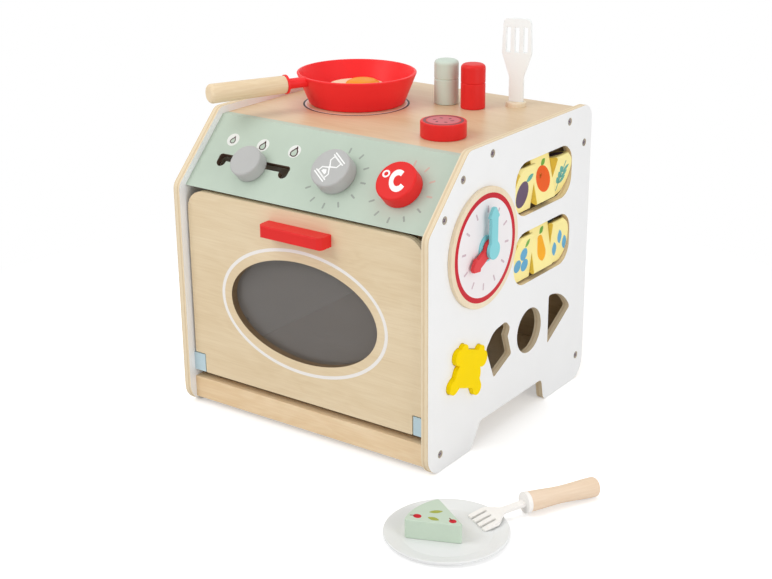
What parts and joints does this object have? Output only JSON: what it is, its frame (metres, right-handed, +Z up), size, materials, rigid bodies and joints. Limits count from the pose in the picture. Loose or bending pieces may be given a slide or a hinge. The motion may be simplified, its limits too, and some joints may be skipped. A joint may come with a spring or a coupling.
{
  "type": "toy oven",
  "caption": "Wooden play oven with a drop-down door, turning knobs, toy clock, windows of turning picture blocks, sorting holes, pan, shakers, spatula, plate, cake and fork.",
  "frame": {"origin": "the floor point under the middle of the cabinet, halfway across its width and its depth", "axes": "+Z up, -Y out of the oven door, +X out of the clock side"},
  "size_m": [0.4487, 0.4222, 0.3805],
  "materials": {
    "birch_ply": "clear satin lacquer",
    "pine": "clear satin lacquer",
    "white_board": "white satin paint",
    "mint_board": "mint satin paint",
    "steel": "satin",
    "pale_blue_plastic": "satin",
    "tinted_pane": "gloss",
    "red_wood": "red satin paint",
    "grey_wood": "grey satin paint",
    "dowel": "clear",
    "dial_wood": "printed dial with a ring and ticks",
    "turquoise_wood": "turquoise satin paint",
    "block_wood": "yellow satin paint with printed shapes",
    "yellow_wood": "yellow satin paint",
    "red_plastic": "satin",
    "egg_white_paint": "white satin paint",
    "yolk_paint": "orange satin paint",
    "mint_wood": "mint satin paint",
    "white_plastic": "satin",
    "plate_plastic": "satin"
  },
  "bodies": {
    "cabinet": {"left_side_panel": "white_board", "right_side_panel": "white_board", "top_panel": "birch_ply", "control_panel": "mint_board", "back_panel": "birch_ply", "oven_floor": "birch_ply", "front_rail": "pine", "stop_rail": "birch_ply", "panel_screws": "steel", "left_hinge_block": "pale_blue_plastic", "right_hinge_block": "pale_blue_plastic", "hinge_pins": "steel", "clock_dial": "dial_wood", "clock_spindle": "dowel", "hand_spacer": "turquoise_wood", "front_axle_bearer": "birch_ply", "rear_axle_bearer": "birch_ply", "upper_axle": "dowel", "lower_axle": "dowel", "spatula_collar": "pine"},
    "door": {"oven_door": "birch_ply", "window_pane": "tinted_pane", "pane_screws": "steel", "door_handle": "red_wood", "handle_screws": "steel"},
    "slider": {"slider_knob": "grey_wood", "slider_peg": "dowel", "slider_washer": "dowel"},
    "timer": {"timer_knob": "grey_wood", "timer_spindle": "dowel"},
    "temperature": {"temperature_knob": "red_wood", "temperature_spindle": "dowel"},
    "pan": {"pan_bowl": "red_plastic", "pan_handle": "pine"},
    "egg": {"egg_white": "egg_white_paint", "egg_yolk": "yolk_paint"},
    "fork": {"fork_head": "white_plastic", "fork_handle": "pine"},
    "upper_front_block": {"upper_block_front": "block_wood"},
    "upper_middle_block": {"upper_block_middle": "block_wood"},
    "upper_rear_block": {"upper_block_rear": "block_wood"},
    "lower_front_block": {"lower_block_front": "block_wood"},
    "lower_middle_block": {"lower_block_middle": "block_wood"},
    "lower_rear_block": {"lower_block_rear": "block_wood"},
    "hour_hand_body": {"hour_hand": "red_wood"},
    "minute_hand_body": {"minute_hand": "turquoise_wood"},
    "bear": {"bear_block": "yellow_wood"},
    "mint_shaker_body": {"mint_shaker": "mint_wood"},
    "red_shaker_body": {"red_shaker": "red_wood"},
    "disc": {"red_disc": "red_wood"},
    "spatula_body": {"spatula": "white_plastic"},
    "plate_body": {"plate": "plate_plastic"},
    "cake": {"cake_slice": "mint_wood"}
  },
  "joints": [
    {"name": "door_hinge", "type": "hinge", "parent": "cabinet", "child": "door", "pos_m": [0, -0.13525, 0.0461], "axis": [1, 0, 0], "range_deg": [0, 90]},
    {"name": "slider_travel", "type": "slide", "parent": "cabinet", "child": "slider", "axis": [1, 0, 0], "range_m": [-0.0385, 0.0385]},
    {"name": "timer_turn", "type": "hinge", "parent": "cabinet", "child": "timer", "pos_m": [0.0222, -0.10932, 0.26129], "axis": [0, -0.7125, 0.7016], "continuous": true},
    {"name": "temperature_turn", "type": "hinge", "parent": "cabinet", "child": "temperature", "pos_m": [0.0962, -0.10932, 0.26129], "axis": [0, -0.7125, 0.7016], "continuous": true},
    {"name": "hour_hand_turn", "type": "hinge", "parent": "cabinet", "child": "hour_hand_body", "pos_m": [0.157, -0.059, 0.202], "axis": [1, 0, 0], "continuous": true},
    {"name": "minute_hand_turn", "type": "hinge", "parent": "cabinet", "child": "minute_hand_body", "pos_m": [0.161, -0.059, 0.202], "axis": [1, 0, 0], "continuous": true},
    {"name": "upper_front_block_turn", "type": "hinge", "parent": "cabinet", "child": "upper_front_block", "pos_m": [0.13407, 0.0535, 0.239], "axis": [0, 1, 0], "continuous": true},
    {"name": "upper_middle_block_turn", "type": "hinge", "parent": "cabinet", "child": "upper_middle_block", "pos_m": [0.13407, 0.0535, 0.239], "axis": [0, 1, 0], "continuous": true},
    {"name": "upper_rear_block_turn", "type": "hinge", "parent": "cabinet", "child": "upper_rear_block", "pos_m": [0.13407, 0.0535, 0.239], "axis": [0, 1, 0], "continuous": true},
    {"name": "lower_front_block_turn", "type": "hinge", "parent": "cabinet", "child": "lower_front_block", "pos_m": [0.13407, 0.0535, 0.1685], "axis": [0, 1, 0], "continuous": true},
    {"name": "lower_middle_block_turn", "type": "hinge", "parent": "cabinet", "child": "lower_middle_block", "pos_m": [0.13407, 0.0535, 0.1685], "axis": [0, 1, 0], "continuous": true},
    {"name": "lower_rear_block_turn", "type": "hinge", "parent": "cabinet", "child": "lower_rear_block", "pos_m": [0.13407, 0.0535, 0.1685], "axis": [0, 1, 0], "continuous": true},
    {"name": "bear_push", "type": "slide", "parent": "cabinet", "child": "bear", "axis": [1, 0, 0], "range_m": [-0.03, 0.04]},
    {"name": "pan_lift", "type": "slide", "parent": "cabinet", "child": "pan", "axis": [0, 0, 1], "range_m": [0, 0.15]},
    {"name": "egg_lift", "type": "slide", "parent": "pan", "child": "egg", "axis": [0, 0, 1], "range_m": [0, 0.12]},
    {"name": "mint_shaker_lift", "type": "slide", "parent": "cabinet", "child": "mint_shaker_body", "axis": [0, 0, 1], "range_m": [0, 0.12]},
    {"name": "red_shaker_lift", "type": "slide", "parent": "cabinet", "child": "red_shaker_body", "axis": [0, 0, 1], "range_m": [0, 0.12]},
    {"name": "disc_lift", "type": "slide", "parent": "cabinet", "child": "disc", "axis": [0, 0, 1], "range_m": [0, 0.12]},
    {"name": "spatula_lift", "type": "slide", "parent": "cabinet", "child": "spatula_body", "axis": [0, 0, 1], "range_m": [0, 0.12]},
    {"name": "plate_lift", "type": "slide", "parent": "cabinet", "child": "plate_body", "axis": [0, 0, 1], "range_m": [0, 0.1]},
    {"name": "cake_lift", "type": "slide", "parent": "plate_body", "child": "cake", "axis": [0, 0, 1], "range_m": [0, 0.08]},
    {"name": "fork_lift", "type": "slide", "parent": "plate_body", "child": "fork", "axis": [0, 0, 1], "range_m": [0, 0.08]}
  ]
}
